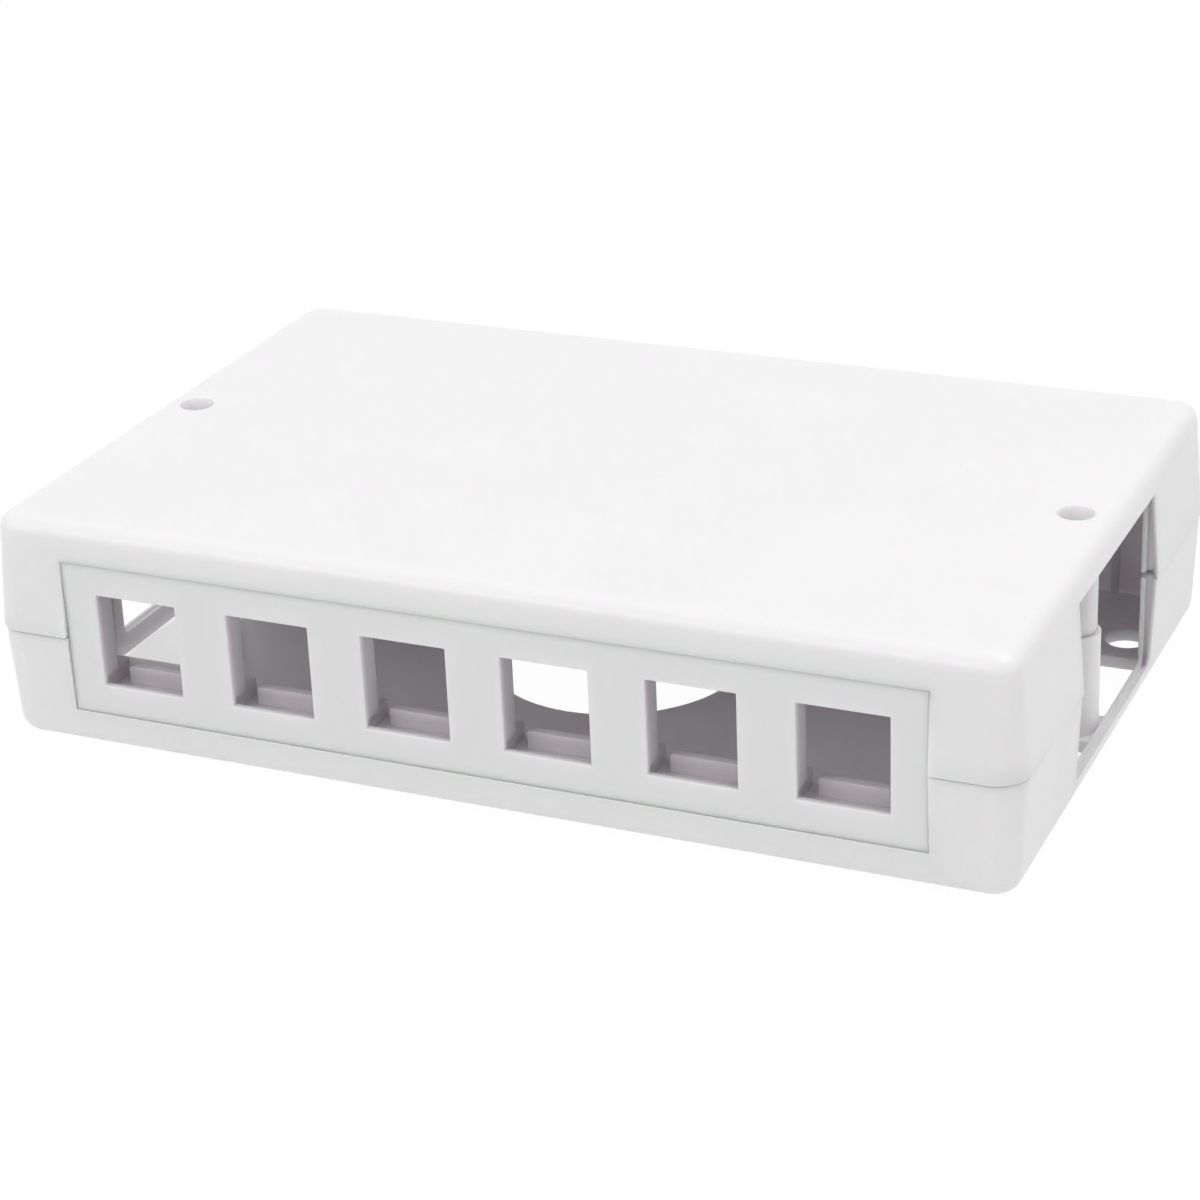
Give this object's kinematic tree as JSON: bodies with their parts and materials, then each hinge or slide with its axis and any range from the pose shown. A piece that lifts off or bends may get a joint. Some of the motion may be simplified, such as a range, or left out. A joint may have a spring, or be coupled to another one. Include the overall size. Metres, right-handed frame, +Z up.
{
  "type": "surface mount jack box",
  "caption": "Low rectangular wall box in two screwed mouldings with a row of snap-in jack ports in front and cable entries in the sides and floor.",
  "frame": {"origin": "bottom centre of the box, on its underside", "axes": "+X along the row of ports, to the right seen from the front; +Y from the ports to the back; +Z up, out of the wall or table that the underside lies on"},
  "size_m": [0.1758, 0.1134, 0.0395],
  "materials": {
    "housing": "satin moulded white plastic",
    "insert": "satin moulded white plastic",
    "screw": "bright zinc plating"
  },
  "bodies": {
    "root": {"base": "housing", "cover": "housing", "port_plate": "insert", "cover_screw_left": "screw", "cover_screw_right": "screw"}
  },
  "joints": []
}
